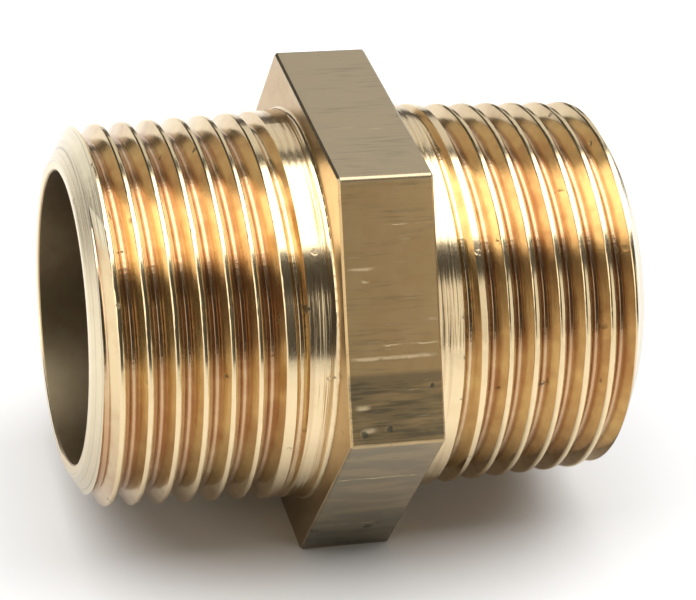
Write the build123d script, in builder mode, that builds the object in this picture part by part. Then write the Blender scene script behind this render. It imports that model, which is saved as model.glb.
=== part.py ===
"""Brass hex nipple, R 3/4 male taper thread at both ends.

One piece, turned from hexagonal brass bar: a hexagon in the middle for the
spanner, a tapered threaded leg on each side, and a plain bore right through.

Frame: the origin is the middle of the hexagon on the bore's axis, +X runs
along the bore, and +Z is up, square to two of the hexagon's flats.
Units are millimetres.
"""

import os
from math import atan, ceil, cos, degrees, radians, sin, tan

from build123d import *

# --- Hexagon and bore --------------------------------------------------------
HEX_ACROSS_FLATS = 30.0
HEX_WIDTH = 6.4  # along the bore
HEX_CORNER_RADIUS = 0.4  # the long edges of drawn bar are rounded
HEX_EDGE_BREAK = 0.15  # left by the facing tool
BORE_DIAMETER = 20.0
BORE_EDGE_BREAK = 0.15

# --- Legs ----------------------------------------------------------------------
LEG_LENGTH = 15.8  # from the hexagon's face to the leg's end
END_RING_WIDTH = 0.7  # flat ring left round the bore at the leg's end
END_CHAMFER_ANGLE = 60.0  # between the chamfer and the bore's axis
NECK_FILLET = 0.3  # where a leg meets the hexagon

# --- R 3/4 thread (ISO 7-1: 55 degree Whitworth form on a 1 in 16 taper) --------
PITCH = 25.4 / 14
THREAD_ANGLE = 55.0
TAPER = 1 / 16  # on the diameter
MAJOR_DIAMETER = 26.441  # over the crests, at the gauge plane
GAUGE_LENGTH = 9.5  # from the leg's end to the gauge plane
THREAD_DEPTH = 0.640327 * PITCH
ROOT_RADIUS = 0.137278 * PITCH
TURN_GAP = 0.04  # between the cutter's neighbouring turns
CREST_SKIM = 0.012  # the blank is turned this much below the rounded crests' tops
PLAIN_NECK = 1.4  # unthreaded stretch beside the hexagon
FADE_TURNS = 1.0  # the cutter climbs out of the metal over this many turns
FADE_LIFT = 1.1  # how far it climbs, in thread depths
RIGHT_PHASE = 205.0  # degrees that each leg's thread is turned about the bore
LEFT_PHASE = 262.0

# --- Worked out from the sizes above --------------------------------------------
HALF_LENGTH = HEX_WIDTH / 2 + LEG_LENGTH
BITE = HEX_WIDTH / 4  # each leg reaches this far into the hexagon
SLOPE = TAPER / 2
END_RADIUS = MAJOR_DIAMETER / 2 - SLOPE * GAUGE_LENGTH  # over the crests
FLANK = radians(THREAD_ANGLE / 2)
FLANK_TURN = 90 - THREAD_ANGLE / 2  # degrees that each rounding turns through
HALF_MOUTH = (PITCH - TURN_GAP) / 2
FADE_START = LEG_LENGTH - PLAIN_NECK - FADE_TURNS * PITCH
FULL_TURNS = ceil(FADE_START / PITCH) + 1  # the first turn is clear of the leg
GROOVE_START = FADE_START - FULL_TURNS * PITCH
FADE_SLOPE = SLOPE + FADE_LIFT * THREAD_DEPTH / (FADE_TURNS * PITCH)


def crest_radius(height):
    """Radius over the crests at a height above the leg's end."""
    return END_RADIUS + SLOPE * height


def crest_rounding(depth):
    """Radius that rounds the crest at the end of a flank of this depth."""
    flank_reach = ROOT_RADIUS * cos(FLANK) + tan(FLANK) * (depth - ROOT_RADIUS * (1 - sin(FLANK)))
    return (HALF_MOUTH - flank_reach) / (cos(FLANK) - tan(FLANK) * (1 - sin(FLANK)))


def groove_section(height):
    """Sketch of the groove's section, centred at a height above the leg's end."""
    root = crest_radius(height) - THREAD_DEPTH
    outside = crest_radius(height) + THREAD_DEPTH
    with BuildSketch(Plane.XZ) as section:
        with BuildLine(Location((0, height))):
            root_center = (root + ROOT_RADIUS, 0)
            bottom = CenterArc(root_center, ROOT_RADIUS, 90 + THREAD_ANGLE / 2, 2 * FLANK_TURN)
            sides = []
            for side in (1, -1):
                # The crests on the two sides follow the taper.
                depth = THREAD_DEPTH + CREST_SKIM + side * SLOPE * HALF_MOUTH
                rounding = crest_rounding(depth)
                crest_center = (root + depth - rounding, side * HALF_MOUTH)
                sides.append(CenterArc(crest_center, rounding, 0, -side * FLANK_TURN))
            upper, lower = sides
            Line(upper @ 1, bottom @ 0)
            Line(lower @ 1, bottom @ 1)
            Polyline(upper @ 0, (outside, HALF_MOUTH), (outside, -HALF_MOUTH), lower @ 0)
        make_face()
    return section.sketch


def conical_helix(start, turns, slope):
    """The groove's path over some turns, from a height, on a cone of this slope.

    Helix measures its pitch along the cone's side, so the thread's pitch,
    which is along the axis, is lengthened to suit.
    """
    return Helix(
        PITCH / cos(atan(slope)),
        turns * PITCH,
        crest_radius(start),
        center=(0, 0, start),
        cone_angle=degrees(atan(slope)),
    )


# --- One leg, standing on its small end -------------------------------------------
end_face_radius = BORE_DIAMETER / 2 + END_RING_WIDTH
chamfer_height = (END_RADIUS - end_face_radius) / (tan(radians(END_CHAMFER_ANGLE)) - SLOPE)
leg_height = LEG_LENGTH + BITE

# The groove starts in the air below the leg, and its last part climbs out of
# the metal before the neck. Each turn stays an edge of its own.
groove_turns = [conical_helix(GROOVE_START + turn * PITCH, 1, SLOPE) for turn in range(FULL_TURNS)]
groove_path = Wire([*groove_turns, conical_helix(FADE_START, FADE_TURNS, FADE_SLOPE)])
groove_tool = sweep(groove_section(GROOVE_START), groove_path, is_frenet=True)

with BuildPart() as threaded_leg:
    with BuildSketch(Plane.YZ):
        with BuildLine():
            Polyline(
                (0, 0),
                (end_face_radius, 0),
                (crest_radius(chamfer_height), chamfer_height),
                (crest_radius(leg_height), leg_height),
                (0, leg_height),
                close=True,
            )
        make_face()
    revolve(axis=Axis.Z)

    add(groove_tool, mode=Mode.SUBTRACT)

# --- The nipple -------------------------------------------------------------------
with BuildPart() as hex_nipple_body:
    with BuildSketch(Plane.YZ.offset(-HEX_WIDTH / 2)):
        RegularPolygon(HEX_ACROSS_FLATS / 2, 6, major_radius=False)
    extrude(amount=HEX_WIDTH)
    fillet(hex_nipple_body.edges().filter_by(Axis.X), HEX_CORNER_RADIUS)
    chamfer(hex_nipple_body.faces().filter_by(Axis.X).edges(), HEX_EDGE_BREAK)

    for end, phase in ((1, RIGHT_PHASE), (-1, LEFT_PHASE)):
        leg_end = Plane(origin=(end * HALF_LENGTH, 0, 0), x_dir=(0, 0, 1), z_dir=(-end, 0, 0))
        with Locations(leg_end.location * Rotation(0, 0, phase)):
            add(threaded_leg.part)

    hex_sides = hex_nipple_body.faces().filter_by(Axis.X).sort_by(Axis.X)[1:-1]
    fillet([side.inner_wires().edges() for side in hex_sides], NECK_FILLET)

    with Locations(Plane.YZ):
        Hole(BORE_DIAMETER / 2)
    leg_ends = hex_nipple_body.faces().filter_by(Axis.X).sort_by(Axis.X)
    chamfer([leg_ends[i].inner_wires().edges() for i in (0, -1)], BORE_EDGE_BREAK)

hex_nipple_body.part.label = "hex_nipple_body"

if __name__ == "__main__":
    os.makedirs("parts", exist_ok=True)
    export_step(hex_nipple_body.part, "parts/hex_nipple_body.step")
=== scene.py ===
"""Studio scene for a brass hex nipple with a tapered male pipe thread at each end.

The fitting is one piece of turned brass, lying on one flat of its hexagon on
a plain pale floor. Lengths are in metres and angles in degrees, in the frame
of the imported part: +X along the bore and +Z up through a flat of the hexagon.
"""

from __future__ import annotations

import logging
import math
from dataclasses import dataclass, field
from enum import Enum
from typing import Mapping, Optional, Sequence, Union

import bpy
from mathutils import Euler, Matrix, Vector


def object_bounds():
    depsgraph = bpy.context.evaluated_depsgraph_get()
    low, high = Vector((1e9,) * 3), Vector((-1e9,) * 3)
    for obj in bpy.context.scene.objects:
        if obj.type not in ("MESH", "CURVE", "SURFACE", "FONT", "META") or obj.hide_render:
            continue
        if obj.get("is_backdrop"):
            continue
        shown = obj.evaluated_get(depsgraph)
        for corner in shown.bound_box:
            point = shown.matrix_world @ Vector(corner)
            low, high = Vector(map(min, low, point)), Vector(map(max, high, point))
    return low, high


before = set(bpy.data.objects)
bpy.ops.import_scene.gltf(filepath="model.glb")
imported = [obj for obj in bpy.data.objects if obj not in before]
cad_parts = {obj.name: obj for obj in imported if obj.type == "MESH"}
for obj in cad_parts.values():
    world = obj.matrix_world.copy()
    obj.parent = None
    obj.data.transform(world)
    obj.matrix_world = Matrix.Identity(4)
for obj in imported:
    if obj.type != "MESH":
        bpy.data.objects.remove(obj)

LOG = logging.getLogger("hex_nipple")
MM_PER_M = 1000.0

Colour = tuple[float, float, float]
Span = tuple[float, float]
Operand = Union[float, "Value"]

BLACK: Colour = (0.0, 0.0, 0.0)
WHITE: Colour = (1.0, 1.0, 1.0)
WARM_WHITE: Colour = (1.0, 0.97, 0.92)


class Operation(Enum):
    """What a Math node does with its inputs."""

    ADD = "ADD"
    SUBTRACT = "SUBTRACT"
    MULTIPLY = "MULTIPLY"
    DROP_SIGN = "ABSOLUTE"
    SQUARE_ROOT = "SQRT"
    SMALLER = "MINIMUM"
    LARGER = "MAXIMUM"


@dataclass(frozen=True)
class Value:
    """One number in a shader, which Python's operators work on as Math nodes.

    Attributes:
        bench: where the number's node is laid out.
        socket: the output socket that gives the number.
    """

    bench: "NodeBench"
    socket: bpy.types.NodeSocket

    def _math(self, operation: Operation, *operands: Operand) -> "Value":
        """Adds one Math node.

        Args:
            operation: what the node does.
            *operands: its inputs, in order.

        Returns:
            The node's result.
        """
        inputs = dict(enumerate(operands))
        return self.bench.value("ShaderNodeMath", {"operation": operation.value}, inputs)

    def __add__(self, other: Operand) -> "Value":
        """Adds."""
        return self._math(Operation.ADD, self, other)

    __radd__ = __add__

    def __sub__(self, other: Operand) -> "Value":
        """Subtracts."""
        return self._math(Operation.SUBTRACT, self, other)

    def __rsub__(self, other: Operand) -> "Value":
        """Subtracts this value from a number."""
        return self._math(Operation.SUBTRACT, other, self)

    def __mul__(self, other: Operand) -> "Value":
        """Multiplies."""
        return self._math(Operation.MULTIPLY, self, other)

    __rmul__ = __mul__

    def __abs__(self) -> "Value":
        """Drops the sign."""
        return self._math(Operation.DROP_SIGN, self)

    def root(self) -> "Value":
        """Takes the square root."""
        return self._math(Operation.SQUARE_ROOT, self)

    def least(self, other: Operand) -> "Value":
        """Takes the smaller of two."""
        return self._math(Operation.SMALLER, self, other)

    def most(self, other: Operand) -> "Value":
        """Takes the larger of two."""
        return self._math(Operation.LARGER, self, other)

    def rise(self, low: float, high: float) -> "Value":
        """Goes smoothly from 0 to 1.

        Args:
            low: the value that gives 0.
            high: the value that gives 1, which may be below low.

        Returns:
            The smooth step, never outside 0 to 1.
        """
        bounds = {"From Min": low, "From Max": high, "Value": self}
        return self.bench.value("ShaderNodeMapRange", {"interpolation_type": "SMOOTHSTEP"}, bounds)


class NodeBench:
    """The place where one material's nodes are laid out.

    Attributes:
        tree: the material's node tree.
    """

    def __init__(self, material: bpy.types.Material) -> None:
        """Clears a material's nodes.

        Args:
            material: the material to work on.
        """
        material.use_nodes = True
        self.tree = material.node_tree
        self.tree.nodes.clear()

    def node(
        self,
        kind: str,
        settings: Optional[Mapping[str, object]] = None,
        inputs: Optional[Mapping[Union[int, str], object]] = None,
    ) -> bpy.types.Node:
        """Adds a node.

        Args:
            kind: the node's type.
            settings: properties to set first.
            inputs: values or links for its sockets, by name or number.

        Returns:
            The new node.
        """
        node = self.tree.nodes.new(kind)
        for name, setting in (settings or {}).items():
            setattr(node, name, setting)
        for name, given in (inputs or {}).items():
            socket = node.inputs[name]
            if isinstance(given, Value):
                given = given.socket
            if isinstance(given, bpy.types.NodeSocket):
                self.tree.links.new(given, socket)
            elif socket.type == "RGBA":
                socket.default_value = (*given, 1.0)
            else:
                socket.default_value = given
        return node

    def value(
        self,
        kind: str,
        settings: Optional[Mapping[str, object]] = None,
        inputs: Optional[Mapping[Union[int, str], object]] = None,
        output: Union[int, str] = 0,
    ) -> Value:
        """Adds a node and takes one number from it.

        Args:
            kind: the node's type.
            settings: its properties.
            inputs: its sockets' values or links.
            output: the socket to read.

        Returns:
            The number.
        """
        return Value(self, self.node(kind, settings, inputs).outputs[output])

    def vector(self, x: Operand, y: Operand, z: Operand) -> bpy.types.NodeSocket:
        """Joins three numbers to a vector.

        Args:
            x: the first number.
            y: the second number.
            z: the third number.

        Returns:
            The vector's socket.
        """
        return self.node("ShaderNodeCombineXYZ", inputs={0: x, 1: y, 2: z}).outputs[0]

    def noise(self, where: bpy.types.NodeSocket, scale: float, detail: float) -> Value:
        """Reads cloudy noise.

        Args:
            where: the place to read it at.
            scale: its fineness.
            detail: how many finer layers it has.

        Returns:
            The noise, about 0.5 on average.
        """
        return self.value("ShaderNodeTexNoise", None, {"Vector": where, "Scale": scale, "Detail": detail})

    def blend(self, share: Operand, first: object, second: object) -> bpy.types.NodeSocket:
        """Mixes two colours.

        Args:
            share: 0 for the first colour and 1 for the second.
            first: a colour or its socket.
            second: a colour or its socket.

        Returns:
            The mixed colour's socket.
        """
        mix = self.node("ShaderNodeMix", {"data_type": "RGBA"}, {0: share, 6: first, 7: second})
        return mix.outputs[2]


@dataclass(frozen=True)
class Scratch:
    """A light scratch or dent along one of the hexagon's flats.

    Attributes:
        height_mm: its height in the fitting's frame.
        start_mm: where it starts along the bore.
        end_mm: where it ends along the bore.
        width_mm: its half width.
        wander_mm: how far it strays from a straight line.
        taper_mm: how long each of its ends fades.
    """

    height_mm: float
    start_mm: float
    end_mm: float
    width_mm: float
    wander_mm: float = 0.25
    taper_mm: float = 0.6

    def mask(self, x: Value, z: Value, ragged: Value) -> Value:
        """Finds the scratch on the surface.

        Args:
            x: distance along the bore in millimetres.
            z: height in millimetres.
            ragged: noise that makes its edge uneven.

        Returns:
            1 in the scratch and 0 away from it.
        """
        across = abs(z - self.height_mm + (ragged - 0.5) * self.wander_mm)
        along = (x - self.start_mm).rise(0.0, self.taper_mm) * (self.end_mm - x).rise(0.0, self.taper_mm)
        return across.rise(self.width_mm, self.width_mm * 0.2) * along * ragged.rise(0.34, 0.60)


@dataclass(frozen=True)
class Nick:
    """A small dark dent.

    Attributes:
        place_mm: its middle.
        size_mm: its radius.
    """

    place_mm: tuple[float, float, float]
    size_mm: float

    def mask(self, bench: NodeBench, place: bpy.types.NodeSocket, ragged: Value) -> Value:
        """Finds the dent on the surface.

        Args:
            bench: the material's nodes.
            place: the place on the surface in millimetres.
            ragged: noise that makes its edge uneven.

        Returns:
            1 in the dent and 0 away from it.
        """
        inputs = {0: place, 1: self.place_mm}
        away = bench.value("ShaderNodeVectorMath", {"operation": "DISTANCE"}, inputs, "Value")
        return (away + (ragged - 0.5) * self.size_mm).rise(self.size_mm, self.size_mm * 0.5)


@dataclass(frozen=True)
class Grain:
    """One noise that the finish is drawn with.

    Attributes:
        fineness: how fine it is along each of three coordinates, per millimetre.
        detail: how many finer layers it has.
    """

    fineness: tuple[float, float, float]
    detail: float

    def read(self, bench: NodeBench, *coordinates: Value) -> Value:
        """Reads the noise.

        Args:
            bench: the material's nodes.
            *coordinates: three coordinates in millimetres.

        Returns:
            The noise, about 0.5 on average.
        """
        stretched = [place * fine for place, fine in zip(coordinates, self.fineness)]
        return bench.noise(bench.vector(*stretched), 1.0, self.detail)


@dataclass(frozen=True)
class Spot:
    """Where a point of the surface is, in millimetres.

    Attributes:
        place: its place in the fitting's frame.
        x: distance along the bore, to the right of the hexagon's middle.
        y: distance behind the bore's axis.
        z: height above the bore's axis.
        along: distance from the hexagon's middle, whichever way.
        radius: distance from the bore's axis.
    """

    place: bpy.types.NodeSocket
    x: Value
    y: Value
    z: Value
    along: Value
    radius: Value


@dataclass(frozen=True)
class Zones:
    """Masks of the fitting's surfaces, each 1 on its surface and 0 off it.

    Attributes:
        hexagon: the whole outside of the hexagon.
        flats: its six flats.
        sides: its two turned sides.
        front: the two flats that face -Y.
        top_flat: the flat on top.
        leg: the outside of both legs.
        crest: the thread's crests.
        root: the thread's roots.
        neck: the end of each thread, next to the hexagon.
        chamfer: the chamfer at each end.
        end_ring: the flat ring at each end.
        bore: the bore.
    """

    hexagon: Value
    flats: Value
    sides: Value
    front: Value
    top_flat: Value
    leg: Value
    crest: Value
    root: Value
    neck: Value
    chamfer: Value
    end_ring: Value
    bore: Value


@dataclass(frozen=True)
class Noises:
    """The noises of the finish.

    Attributes:
        clouds: broad clouds of tarnish.
        mottle: smaller patches.
        speckle: fine speckle.
        drawn: broad lines along the flats, from drawing the bar.
        drawn_fine: fine lines along the flats.
        turned: fine lines round the legs.
        dragged: coarse lines round the legs, where the die stopped.
        faced: rings on the faced and chamfered ends.
    """

    clouds: Value
    mottle: Value
    speckle: Value
    drawn: Value
    drawn_fine: Value
    turned: Value
    dragged: Value
    faced: Value


@dataclass(frozen=True)
class Wear:
    """What has happened to the surface, and the shade painted on it, each from 0 to 1.

    Attributes:
        tarnish: brown tarnish.
        painted_under_shade: painted shade on the lower front flat, which faces down.
        soiled_and_shaded: dirt in a band on the upper front flat, joined with the painted shade on the
            lower one.
        streaks: thin dark lines along the flats.
        marks: light scratches.
        pits: small dents and nicks.
    """

    tarnish: Value
    painted_under_shade: Value
    soiled_and_shaded: Value
    streaks: Value
    marks: Value
    pits: Value


@dataclass(frozen=True)
class TurnedBrass:
    """Brass as it comes from the lathe and has lain in a stockroom since.

    A span is where a soft edge starts and where it is complete, so a mask
    goes from 0 to 1 between its two numbers.

    Attributes:
        bright: colour of a freshly rubbed crest or edge.
        plain: colour of clean brass.
        brown: colour of the thin tarnish.
        olive: colour of the drawn flats.
        painted_lit_and_shaded_grey: greyer colour painted as light and shade; on the top flat it stands
            for the overhead light, and on the lower front flat it goes with the painted shade.
        stain_and_painted_shade: colour of the dark handling stains, and of the shade painted in the bore,
            on the lower front flat and low on the hexagon's sides.
        faced: greyer colour of the ends, which are chamfered last.
        plain_roughness: roughness of a machined surface.
        worn_roughness: roughness where the surface is rubbed or scratched.
        relief_m: height of the finest relief, in metres.
        relief_strength: how strongly that relief shows.
        scratches: light scratches along the flats.
        nicks: small dark dents.
        end_x_mm: distance from the middle of the hexagon to a leg's end.
        end_radius_mm: radius over the thread's crests at a leg's end.
        slope: rise of the crests along the bore, from the thread's taper.
        ring_radius_mm: radius at which the flat end ring meets the chamfer.
        chamfer_angle: angle between the chamfer and the bore's axis.
        bore_radius_mm: radius of the bore.
        hex_half_mm: half the hexagon's width along the bore.
        crest_span: depths below the crests' tops at which a crest ends.
        root_span: depths below them at which a root begins.
        neck_span: distances from the hexagon over which the neck begins.
        top_span: heights at which the top flat begins.
        front_span: places along Y at which the front begins.
        band_top: heights at which the front's dirty band begins.
        band_foot: heights at which it ends.
        rim_top: heights at which the band's darker upper edge begins.
        rim_foot: heights at which that edge ends.
        under_span: heights at which the lower front flat begins.
        under_shade_span: heights over which the painted shade on that flat deepens downwards.
        side_shade_span: heights over which painted shade darkens the hexagon's sides downwards.
        pit_fineness: how close the small pits are, per millimetre.
    """

    bright: Colour = (0.80, 0.64, 0.40)
    plain: Colour = (0.72, 0.565, 0.335)
    brown: Colour = (0.49, 0.305, 0.17)
    olive: Colour = (0.42, 0.275, 0.115)
    painted_lit_and_shaded_grey: Colour = (0.40, 0.33, 0.22)
    stain_and_painted_shade: Colour = (0.085, 0.085, 0.062)
    faced: Colour = (0.74, 0.68, 0.50)
    plain_roughness: float = 0.17
    worn_roughness: float = 0.40
    relief_m: float = 0.00004
    relief_strength: float = 0.35
    scratches: Sequence[Scratch] = (
        Scratch(4.9, -3.2, 3.2, 0.16),
        Scratch(5.6, -1.0, 3.2, 0.07),
        Scratch(9.9, -3.1, -0.8, 0.14),
        Scratch(9.2, -2.4, -1.3, 0.12),
        Scratch(6.9, 2.0, 3.2, 0.14),
        Scratch(2.2, -3.0, -1.6, 0.20),
        Scratch(0.9, -2.7, -1.2, 0.22),
        Scratch(12.3, -1.0, 3.0, 0.05),
        Scratch(-4.6, -3.2, 3.2, 0.09),
        Scratch(-11.4, -2.5, 1.5, 0.06),
    )
    nicks: Sequence[Nick] = (
        Nick((0.9, -10.4, -12.0), 0.42),
        Nick((-2.3, -16.9, 0.7), 0.30),
        Nick((-0.6, -16.8, 0.9), 0.26),
        Nick((2.4, -15.5, 3.2), 0.20),
        Nick((-13.0, -12.75, 2.0), 0.38),
        Nick((-5.4, -11.2, 6.9), 0.40),
        Nick((5.6, -12.9, 3.4), 0.34),
        Nick((-17.2, -5.5, 11.3), 0.36),
        Nick((12.4, 7.9, 10.2), 0.36),
        Nick((-8.2, 12.4, 3.6), 0.34),
        Nick((-1.2, 12.9, 7.6), 0.40),
    )
    end_x_mm: float = 19.0
    end_radius_mm: float = 12.924
    slope: float = 1.0 / 32.0
    ring_radius_mm: float = 10.7
    chamfer_angle: float = 60.0
    bore_radius_mm: float = 10.0
    hex_half_mm: float = 3.2
    crest_span: Span = (0.14, 0.01)
    root_span: Span = (0.75, 1.10)
    neck_span: Span = (3.2, 1.6)
    top_span: Span = (14.6, 14.95)
    front_span: Span = (-8.5, -9.0)
    band_top: Span = (4.1, 3.5)
    band_foot: Span = (-0.4, 0.4)
    rim_top: Span = (4.2, 3.8)
    rim_foot: Span = (3.1, 3.5)
    under_span: Span = (0.2, -0.4)
    under_shade_span: Span = (-7.0, -14.5)
    side_shade_span: Span = (-7.0, -13.0)
    pit_fineness: float = 0.40

    def _spot(self, bench: NodeBench) -> Spot:
        """Reads where the surface is.

        Args:
            bench: the material's nodes.

        Returns:
            The place in millimetres.
        """
        place_m = bench.node("ShaderNodeTexCoord").outputs["Object"]
        scaled = {0: place_m, "Scale": MM_PER_M}
        place = bench.node("ShaderNodeVectorMath", {"operation": "SCALE"}, scaled).outputs[0]
        split = bench.node("ShaderNodeSeparateXYZ", inputs={0: place})
        x, y, z = (Value(bench, socket) for socket in split.outputs)
        return Spot(place, x, y, z, abs(x), (y * y + z * z).root())

    def _zones(self, at: Spot) -> Zones:
        """Finds each surface by where it is.

        Args:
            at: the place in millimetres.

        Returns:
            The surfaces' masks.
        """
        half, bore_radius = self.hex_half_mm, self.bore_radius_mm
        from_end = self.end_x_mm - at.along
        below_crest = self.end_radius_mm + from_end * self.slope - at.radius
        chamfer_slope = math.tan(math.radians(self.chamfer_angle))
        chamfer_mm = (self.end_radius_mm - self.ring_radius_mm) / (chamfer_slope - self.slope)
        off_chamfer = abs(at.radius - from_end * chamfer_slope - self.ring_radius_mm)

        # The bare numbers are how wide each mask's soft edge is, in millimetres.
        outside = at.radius.rise(bore_radius + 0.1, bore_radius + 0.3)
        hexagon = (1.0 - at.along.rise(half + 0.02, half + 0.06)) * outside
        flats = hexagon * at.along.rise(half - 0.01, half - 0.08)
        leg = at.along.rise(half, half + 0.05) * at.radius.rise(bore_radius, bore_radius + 0.1)
        neck_from, neck_full = self.neck_span
        return Zones(
            hexagon=hexagon,
            flats=flats,
            sides=hexagon - flats,
            front=flats * at.y.rise(*self.front_span),
            top_flat=hexagon * at.z.rise(*self.top_span),
            leg=leg,
            crest=leg * below_crest.rise(*self.crest_span),
            root=leg * below_crest.rise(*self.root_span),
            neck=leg * at.along.rise(half + neck_from, half + neck_full),
            chamfer=from_end.rise(chamfer_mm, chamfer_mm - 0.1) * off_chamfer.rise(0.12, 0.05),
            end_ring=at.along.rise(self.end_x_mm - 0.12, self.end_x_mm - 0.02),
            bore=at.radius.rise(bore_radius + 0.12, bore_radius + 0.04),
        )

    def _noises(self, bench: NodeBench, at: Spot) -> Noises:
        """Reads the noises.

        Args:
            bench: the material's nodes.
            at: the place in millimetres.

        Returns:
            The noises.
        """
        place = (at.x, at.y, at.z)
        return Noises(
            clouds=Grain((0.16, 0.16, 0.16), 4.0).read(bench, *place),
            mottle=Grain((0.9, 0.9, 0.9), 4.0).read(bench, *place),
            speckle=Grain((5.0, 5.0, 5.0), 2.0).read(bench, *place),
            drawn=Grain((0.20, 0.9, 0.9), 4.0).read(bench, *place),
            drawn_fine=Grain((0.35, 6.0, 6.0), 3.0).read(bench, *place),
            turned=Grain((9.0, 0.12, 0.12), 3.0).read(bench, *place),
            dragged=Grain((4.2, 0.10, 0.10), 2.0).read(bench, *place),
            faced=Grain((7.0, 2.0, 0.05), 3.0).read(bench, at.radius, at.x, at.y),
        )

    def _band(self, at: Spot, noises: Noises, patchy: Value) -> Value:
        """Finds the dirty band low on the upper front flat, with its darker upper edge.

        Args:
            at: the place in millimetres.
            noises: the noises.
            patchy: noise that makes the dirt patchy.

        Returns:
            The dirt at that height, from 0 to about 1.
        """
        lined = noises.drawn_fine.rise(0.42, 0.60)
        height = at.z.rise(*self.band_top) * at.z.rise(*self.band_foot)
        rim = at.z.rise(*self.rim_top) * at.z.rise(*self.rim_foot) * 0.75
        return (height * (0.40 + 0.35 * patchy + 0.35 * lined)).most(rim)

    def _wear(self, bench: NodeBench, at: Spot, zones: Zones, noises: Noises) -> Wear:
        """Finds what has happened to the surface, and the shade painted on it.

        Args:
            bench: the material's nodes.
            at: the place in millimetres.
            zones: the surfaces' masks.
            noises: the noises.

        Returns:
            The wear.
        """
        uneven = noises.clouds * 0.9 + noises.mottle * 0.5 - 0.36
        patchy = noises.drawn.rise(0.40, 0.56)
        # Painted shade on the lower front flat, which faces down: darker towards the bottom, and patchy.
        under_shade_depth = 0.50 + 0.35 * at.z.rise(*self.under_shade_span) + 0.25 * patchy
        painted_under_shade = zones.front * at.z.rise(*self.under_span) * under_shade_depth
        streaks = zones.hexagon * noises.drawn_fine.rise(0.46, 0.66) * noises.drawn.rise(0.40, 0.64)
        marks = zones.hexagon * noises.drawn_fine.rise(0.64, 0.74) * noises.clouds.rise(0.40, 0.60) * 0.6
        for scratch in self.scratches:
            marks = marks.most(zones.front * scratch.mask(at.x, at.z, noises.mottle))

        jogged = bench.vector(at.x + noises.mottle, at.y + noises.speckle, at.z)
        cells = {"Vector": jogged, "Scale": self.pit_fineness}
        from_cell = bench.value("ShaderNodeTexVoronoi", {"feature": "F1"}, cells, "Distance")
        pits = from_cell.rise(0.11, 0.05) * noises.speckle.rise(0.44, 0.54) * (1.0 - zones.bore)
        for nick in self.nicks:
            pits = pits.most(nick.mask(bench, at.place, noises.speckle))
        return Wear(
            tarnish=(uneven + zones.root * 0.3 - zones.crest * 0.4).rise(0.15, 0.75),
            painted_under_shade=painted_under_shade,
            # The dirty band on the upper front flat, joined with the painted shade on the lower one.
            soiled_and_shaded=(zones.front * self._band(at, noises, patchy)).most(painted_under_shade),
            streaks=streaks,
            marks=marks,
            pits=pits,
        )

    def _colour(
        self, bench: NodeBench, at: Spot, zones: Zones, noises: Noises, wear: Wear
    ) -> bpy.types.NodeSocket:
        """Mixes the colour, from the clean brass outwards.

        Args:
            bench: the material's nodes.
            at: the place in millimetres.
            zones: the surfaces' masks.
            noises: the noises.
            wear: what has happened to the surface.

        Returns:
            The colour's socket.
        """
        rubbed = zones.crest * noises.mottle.rise(0.30, 0.55)
        # Each coat's share over the ones before it, and its colour.
        coats = (
            (wear.tarnish, self.brown),
            (zones.hexagon * 0.75, self.olive),
            # Painted light and shade: the top flat greyer, as overhead light makes it look, and the lower
            # front flat greyer under its painted shade.
            ((zones.top_flat * 0.85).most(wear.painted_under_shade * 0.7), self.painted_lit_and_shaded_grey),
            (rubbed * 0.5, self.bright),
            # Streaks and the dirty band, with the painted shade on the lower front flat.
            ((wear.streaks * 0.28).most(wear.soiled_and_shaded * 0.72), self.stain_and_painted_shade),
            (zones.neck * noises.dragged.rise(0.50, 0.62) * 0.35, self.brown),
            (wear.marks * 0.65, self.bright),
            # Pits, and painted shade darkening the bore.
            ((wear.pits * 0.8 + zones.bore * 0.58).least(1.0), self.stain_and_painted_shade),
            (zones.end_ring * 0.9, self.bright),
            (zones.chamfer * 0.7, self.faced),
            (zones.chamfer * noises.faced.rise(0.52, 0.62) * 0.45, self.stain_and_painted_shade),
            # Painted shade: the hexagon's turned sides darker towards the bottom.
            (zones.sides * at.z.rise(*self.side_shade_span) * 0.35, self.stain_and_painted_shade),
        )
        colour = self.plain
        for share, coat in coats:
            colour = bench.blend(share, colour, coat)
        return colour

    def _roughness(self, zones: Zones, noises: Noises, wear: Wear) -> Value:
        """Adds up the roughness.

        Args:
            zones: the surfaces' masks.
            noises: the noises.
            wear: what has happened to the surface.

        Returns:
            The roughness.
        """
        return (
            self.plain_roughness
            + wear.tarnish * 0.05
            + (noises.speckle - 0.5) * 0.08
            + zones.hexagon * 0.12
            + zones.bore * 0.20
            + wear.marks * (self.worn_roughness - self.plain_roughness)
            + wear.pits * 0.15
        )

    def _relief(self, zones: Zones, noises: Noises, wear: Wear) -> Value:
        """Adds up the fine relief that the tools left.

        Args:
            zones: the surfaces' masks.
            noises: the noises.
            wear: what has happened to the surface.

        Returns:
            The relief's height, in units of relief_m.
        """
        return (
            zones.leg * noises.turned * 0.35
            + zones.neck * noises.dragged * 2.2
            + zones.hexagon * (noises.drawn * 0.4 + noises.drawn_fine * 0.25 + wear.marks * 0.5)
            + (1.0 - zones.bore) * (noises.faced * 0.15 + noises.speckle * 0.05)
            + zones.sides * noises.faced * 0.6
            - wear.pits
        )

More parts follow.
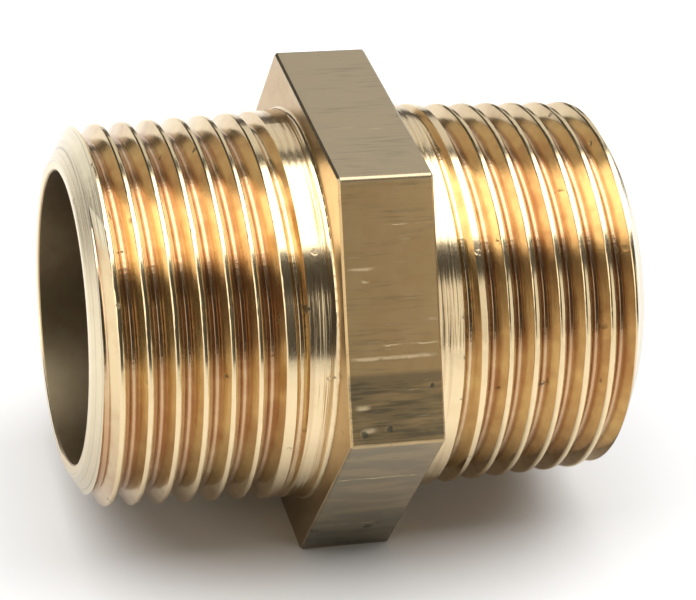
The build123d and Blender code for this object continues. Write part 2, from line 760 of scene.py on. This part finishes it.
    def make(self, name: str) -> bpy.types.Material:
        """Makes the material.

        Args:
            name: the material's name.

        Returns:
            The finished material.
        """
        material = bpy.data.materials.new(name)
        bench = NodeBench(material)
        at = self._spot(bench)
        zones = self._zones(at)
        noises = self._noises(bench, at)
        wear = self._wear(bench, at, zones, noises)
        height = {
            "Strength": self.relief_strength,
            "Distance": self.relief_m,
            "Height": self._relief(zones, noises, wear),
        }
        bump = bench.node("ShaderNodeBump", None, height)
        shader = bench.node(
            "ShaderNodeBsdfPrincipled",
            None,
            {
                "Base Color": self._colour(bench, at, zones, noises, wear),
                "Metallic": 1.0,
                "Roughness": self._roughness(zones, noises, wear),
                "Normal": bump.outputs[0],
            },
        )
        bench.node("ShaderNodeOutputMaterial", None, {"Surface": shader.outputs[0]})
        return material


@dataclass(frozen=True)
class MattePaper:
    """The pale paper that the fitting lies on.

    Attributes:
        colour: the paper's colour.
        roughness: its roughness.
        lit_from: distance from the fitting at which its own faint light starts.
        lit_to: distance at which that light is full, so that it stays pale far out.
        fibre_fineness: how fine its fibres are, per metre.
        relief_m: height of the fibres.
        relief_strength: how strongly they show.
    """

    colour: Colour = (0.77, 0.77, 0.77)
    roughness: float = 0.9
    lit_from: float = 0.25
    lit_to: float = 0.90
    fibre_fineness: float = 900.0
    relief_m: float = 0.0001
    relief_strength: float = 0.05

    def make(self, name: str) -> bpy.types.Material:
        """Makes the material.

        Args:
            name: the material's name.

        Returns:
            The finished material.
        """
        material = bpy.data.materials.new(name)
        bench = NodeBench(material)
        place = bench.node("ShaderNodeTexCoord").outputs["Object"]
        fibre = bench.noise(place, self.fibre_fineness, 2.0)
        away = bench.value("ShaderNodeVectorMath", {"operation": "LENGTH"}, {0: place}, "Value")
        far = away.rise(self.lit_from, self.lit_to)
        height = {"Strength": self.relief_strength, "Distance": self.relief_m, "Height": fibre}
        bump = bench.node("ShaderNodeBump", None, height)
        shader = bench.node(
            "ShaderNodeBsdfPrincipled",
            None,
            {
                "Base Color": self.colour,
                "Roughness": self.roughness,
                "Normal": bump.outputs[0],
                "Emission Color": bench.blend(far, BLACK, WHITE),
                "Emission Strength": 1.0,
            },
        )
        bench.node("ShaderNodeOutputMaterial", None, {"Surface": shader.outputs[0]})
        return material


@dataclass
class HexNipple:
    """The fitting: a hexagon between two threaded legs, in one piece.

    Attributes:
        node: the name of the part's node.
        finish: the brass that it is made of.
    """

    node: str = "hex_nipple_body"
    finish: TurnedBrass = field(default_factory=TurnedBrass)

    def build(self) -> bpy.types.Object:
        """Gives the turned body its finish.

        Returns:
            The body.
        """
        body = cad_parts[self.node]
        brass = self.finish.make("turned_brass")
        body.data.materials.clear()
        body.data.materials.append(brass)
        LOG.info("%s: %d faces", body.name, len(body.data.polygons))
        return body


@dataclass(frozen=True)
class SoftBox:
    """One flat light.

    Attributes:
        name: the light's name.
        azimuth: its bearing, from -Y towards +X.
        elevation: its height above the floor, as an angle at the fitting.
        distance: how far it stands from the fitting.
        size: its width and height.
        glow: how bright its face is; pale paper in full light is about 1.
        colour: its colour.
    """

    name: str
    azimuth: float
    elevation: float
    distance: float
    size: tuple[float, float]
    glow: float
    colour: Colour = WHITE

    def hang(self) -> bpy.types.Object:
        """Makes the light, turned towards the fitting.

        Returns:
            The light.
        """
        light = bpy.data.lights.new(self.name, "AREA")
        light.shape = "RECTANGLE"
        light.size, light.size_y = self.size
        light.energy = self.glow * math.pi * self.size[0] * self.size[1]
        light.color = self.colour
        lamp = bpy.data.objects.new(self.name, light)
        bearing, height = math.radians(self.azimuth), math.radians(self.elevation)
        lamp.location = self.distance * Vector(
            (math.sin(bearing) * math.cos(height), -math.cos(bearing) * math.cos(height), math.sin(height))
        )
        lamp.rotation_euler = Euler((math.pi / 2 - height, 0.0, bearing))
        bpy.context.scene.collection.objects.link(lamp)
        return lamp


@dataclass
class Studio:
    """The floor, the lights and the camera.

    Attributes:
        paper: the floor's finish.
        floor_half: half the floor's side.
        room: colour of the dim room round the table.
        room_glow: how bright the room is.
        backdrop_glow: how bright the pale backdrop looks past the floor.
        boxes: the lights.
        camera_place: where the camera stands.
        camera_bearing: how far the camera is turned from +Y towards +X.
        camera_dip: how far it looks down.
        camera_roll: how far it is turned about its own view.
        lens_mm: its focal length.
        sensor_mm: the width of its sensor.
        nearest: how near to the camera a thing can still be seen.
    """

    paper: MattePaper = field(default_factory=MattePaper)
    floor_half: float = 5.0
    room: Colour = (1.0, 0.94, 0.86)
    room_glow: float = 0.06
    backdrop_glow: float = 1.0
    boxes: Sequence[SoftBox] = (
        SoftBox("overhead_box", 0.0, 92.0, 0.45, (1.60, 0.48), 3.5),
        SoftBox("front_fill", 35.0, 18.0, 0.60, (0.37, 0.41), 1.00, WARM_WHITE),
        SoftBox("rear_fill", 162.0, 30.0, 0.70, (0.90, 0.42), 0.80),
        SoftBox("left_edge_box", -78.0, 12.0, 0.50, (0.30, 0.20), 2.0, WARM_WHITE),
    )
    camera_place: tuple[float, float, float] = (-0.04807, -0.15066, 0.10065)
    camera_bearing: float = 18.10
    camera_dip: float = 32.45
    camera_roll: float = 6.08
    lens_mm: float = 139.2
    sensor_mm: float = 36.0
    nearest: float = 0.01

    def lay_floor(self, height: float) -> bpy.types.Object:
        """Lays the floor.

        Args:
            height: the floor's height.

        Returns:
            The floor.
        """
        bpy.ops.mesh.primitive_plane_add(size=2.0 * self.floor_half, location=(0.0, 0.0, height))
        floor = bpy.context.active_object
        floor.name = "floor"
        floor.data.materials.append(self.paper.make("matte_paper"))
        floor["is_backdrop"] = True
        return floor

    def dim_room(self) -> None:
        """Sets the room's own faint light and the pale backdrop that is seen past the floor."""
        world = bpy.data.worlds.new("room")
        bpy.context.scene.world = world
        world.use_nodes = True
        tree = world.node_tree
        room = tree.nodes["Background"]
        room.inputs["Color"].default_value = (*self.room, 1.0)
        room.inputs["Strength"].default_value = self.room_glow
        backdrop = tree.nodes.new("ShaderNodeBackground")
        backdrop.inputs["Color"].default_value = (*WHITE, 1.0)
        backdrop.inputs["Strength"].default_value = self.backdrop_glow
        path = tree.nodes.new("ShaderNodeLightPath")
        pick = tree.nodes.new("ShaderNodeMixShader")
        tree.links.new(path.outputs["Is Camera Ray"], pick.inputs[0])
        tree.links.new(room.outputs[0], pick.inputs[1])
        tree.links.new(backdrop.outputs[0], pick.inputs[2])
        tree.links.new(pick.outputs[0], tree.nodes["World Output"].inputs["Surface"])

    def set_camera(self) -> bpy.types.Object:
        """Stands the camera.

        Returns:
            The camera.
        """
        data = bpy.data.cameras.new("camera")
        data.lens = self.lens_mm
        data.sensor_width = self.sensor_mm
        data.clip_start = self.nearest
        camera = bpy.data.objects.new("camera", data)
        turn = Euler((math.radians(90.0 - self.camera_dip), 0.0, -math.radians(self.camera_bearing)))
        roll = Matrix.Rotation(math.radians(self.camera_roll), 4, "Z")
        camera.matrix_world = Matrix.Translation(self.camera_place) @ turn.to_matrix().to_4x4() @ roll
        bpy.context.scene.collection.objects.link(camera)
        bpy.context.scene.camera = camera
        return camera

    def build(self, floor_height: float) -> None:
        """Sets up the whole studio.

        Args:
            floor_height: the height of the floor.
        """
        self.lay_floor(floor_height)
        self.dim_room()
        for box in self.boxes:
            box.hang()
            LOG.info("light %s hung", box.name)
        self.set_camera()
        bpy.context.scene.view_settings.view_transform = "Standard"


def main() -> None:
    """Builds the fitting and its studio."""
    logging.basicConfig(level=logging.INFO, format="%(name)s: %(message)s")
    cad_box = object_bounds()
    fitting = HexNipple()
    fitting.build()
    Studio().build(cad_box[0].z)


if __name__ == "__main__":
    main()
